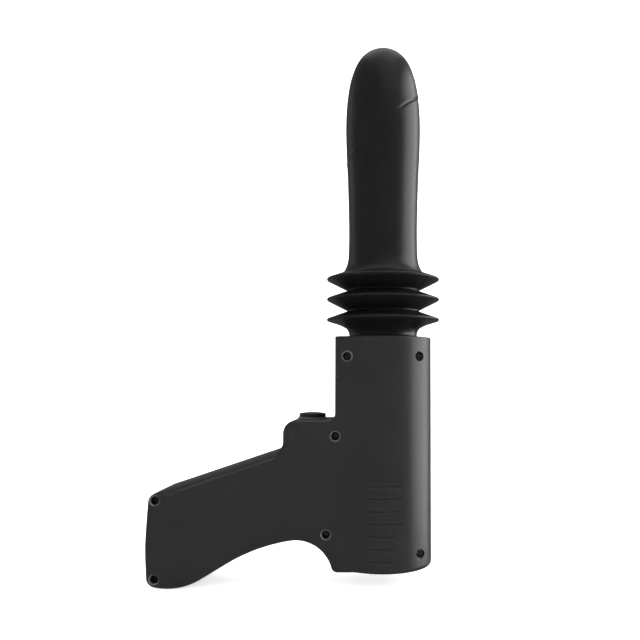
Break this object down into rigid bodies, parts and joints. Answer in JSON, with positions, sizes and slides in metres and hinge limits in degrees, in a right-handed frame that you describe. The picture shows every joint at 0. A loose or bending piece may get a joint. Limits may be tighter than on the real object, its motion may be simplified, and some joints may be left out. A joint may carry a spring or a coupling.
{
  "type": "handheld reciprocating massager",
  "caption": "Pistol-grip thrusting personal massager (adult product): soft sleeve on a pleated bellows, driven by a geared motor and barrel cam.",
  "frame": {"origin": "on the thrust axis at the centre of the barrel's flat rear face", "axes": "+Z along the thrust axis towards the tip; the grip points to -X; the two shells part on the plane Y = 0, with the screw heads on the -Y side"},
  "size_m": [0.1535, 0.0616, 0.2903],
  "materials": {
    "housing_plastic": "fine satin texture",
    "dark_steel": "black oxide",
    "bezel_plastic": "satin",
    "button_plastic": "satin",
    "white_nylon": "natural acetal",
    "black_plastic": "matt",
    "spring_steel": "bright",
    "soft_rubber": "matt",
    "circuit_board": "solder mask",
    "cell_wrap": "shrink wrap",
    "nickel": "nickel plate",
    "lead_cover": "satin",
    "bright_steel": "zinc plate",
    "magnet": "ferrite",
    "brass": "machined",
    "gear_case_steel": "machined",
    "gear_steel": "sintered",
    "chassis_plastic": "glass-filled",
    "silicone": "velvet satin"
  },
  "bodies": {
    "housing": {"shell_left": "housing_plastic", "shell_right": "housing_plastic", "shell_screws": "dark_steel", "button_bezel": "bezel_plastic", "trigger_switch": "black_plastic", "switch_bracket": "black_plastic", "charging_jack": "black_plastic", "control_board": "circuit_board", "battery_cells": "cell_wrap", "battery_cradle": "black_plastic", "battery_contacts": "nickel", "battery_leads": "lead_cover", "motor_leads": "lead_cover", "switch_leads": "lead_cover", "charge_leads": "lead_cover", "motor_can": "bright_steel", "motor_magnets": "magnet", "motor_endcap": "black_plastic", "motor_damper": "soft_rubber", "motor_screws": "dark_steel", "gearbox_case": "gear_case_steel", "output_bearing": "bright_steel", "guide_tube": "chassis_plastic", "neck_ring": "chassis_plastic", "bellows": "silicone", "button_spring": "spring_steel"},
    "thrust": {"thrust_tube": "white_nylon", "follower_pin": "gear_steel", "follower_roller": "brass", "sleeve_core": "chassis_plastic", "core_screws": "bright_steel", "silicone_sleeve": "silicone"},
    "drum": {"stage2_carrier": "gear_steel", "cam_drum": "white_nylon", "drum_screw": "bright_steel"},
    "input_carrier": {"stage1_carrier": "gear_steel"},
    "rotor": {"motor_rotor": "bright_steel", "motor_pinion": "brass"},
    "button": {"trigger_button": "button_plastic", "switch_plunger": "white_nylon"},
    "plug": {"port_plug": "soft_rubber"},
    "stage1_planet_1": {"stage1_planet_1": "gear_steel"},
    "stage1_planet_2": {"stage1_planet_2": "gear_steel"},
    "stage1_planet_3": {"stage1_planet_3": "gear_steel"},
    "stage2_planet_1": {"stage2_planet_1": "gear_steel"},
    "stage2_planet_2": {"stage2_planet_2": "gear_steel"},
    "stage2_planet_3": {"stage2_planet_3": "gear_steel"}
  },
  "joints": [
    {"name": "drum_spin", "type": "hinge", "parent": "housing", "child": "drum", "pos_m": [0, 0, 0.08], "axis": [0, 0, 1], "range_deg": [0, 180]},
    {"name": "thrust_slide", "type": "slide", "parent": "housing", "child": "thrust", "axis": [0, 0, 1], "range_m": [0, 0.025], "deforming": ["bellows"]},
    {"name": "input_carrier_spin", "type": "hinge", "parent": "housing", "child": "input_carrier", "pos_m": [0, 0, 0.05], "axis": [0, 0, 1], "range_deg": [0, 900]},
    {"name": "rotor_spin", "type": "hinge", "parent": "housing", "child": "rotor", "pos_m": [0, 0, 0.02], "axis": [0, 0, 1], "range_deg": [0, 4500]},
    {"name": "stage1_planet_1_spin", "type": "hinge", "parent": "input_carrier", "child": "stage1_planet_1", "pos_m": [0.0075, 0, 0.044], "axis": [0, 0, 1], "range_deg": [-2400.5, 0]},
    {"name": "stage1_planet_2_spin", "type": "hinge", "parent": "input_carrier", "child": "stage1_planet_2", "pos_m": [-0.00375, 0.0065, 0.044], "axis": [0, 0, 1], "range_deg": [-2400.5, 0]},
    {"name": "stage1_planet_3_spin", "type": "hinge", "parent": "input_carrier", "child": "stage1_planet_3", "pos_m": [-0.00375, -0.0065, 0.044], "axis": [0, 0, 1], "range_deg": [-2400.5, 0]},
    {"name": "stage2_planet_1_spin", "type": "hinge", "parent": "drum", "child": "stage2_planet_1", "pos_m": [0.0075, 0, 0.0525], "axis": [0, 0, 1], "range_deg": [-480.5, 0]},
    {"name": "stage2_planet_2_spin", "type": "hinge", "parent": "drum", "child": "stage2_planet_2", "pos_m": [-0.00375, 0.0065, 0.0525], "axis": [0, 0, 1], "range_deg": [-480.5, 0]},
    {"name": "stage2_planet_3_spin", "type": "hinge", "parent": "drum", "child": "stage2_planet_3", "pos_m": [-0.00375, -0.0065, 0.0525], "axis": [0, 0, 1], "range_deg": [-480.5, 0]},
    {"name": "trigger_press", "type": "slide", "parent": "housing", "child": "button", "axis": [0, 0, -1], "range_m": [0, 0.001], "stiffness_N_per_m": 400, "springref_m": -0.002, "deforming": ["button_spring"]},
    {"name": "plug_pull", "type": "slide", "parent": "housing", "child": "plug", "axis": [0, -1, 0], "range_m": [0, 0.008]}
  ],
  "couplings": [
    {"joint": "drum_spin", "follows": "thrust_slide", "rad_per_m": 125.66},
    {"joint": "input_carrier_spin", "follows": "thrust_slide", "rad_per_m": 628.32},
    {"joint": "rotor_spin", "follows": "thrust_slide", "rad_per_m": 3141.6},
    {"joint": "stage1_planet_1_spin", "follows": "thrust_slide", "rad_per_m": -1675.5},
    {"joint": "stage1_planet_2_spin", "follows": "thrust_slide", "rad_per_m": -1675.5},
    {"joint": "stage1_planet_3_spin", "follows": "thrust_slide", "rad_per_m": -1675.5},
    {"joint": "stage2_planet_1_spin", "follows": "thrust_slide", "rad_per_m": -335.1},
    {"joint": "stage2_planet_2_spin", "follows": "thrust_slide", "rad_per_m": -335.1},
    {"joint": "stage2_planet_3_spin", "follows": "thrust_slide", "rad_per_m": -335.1}
  ]
}
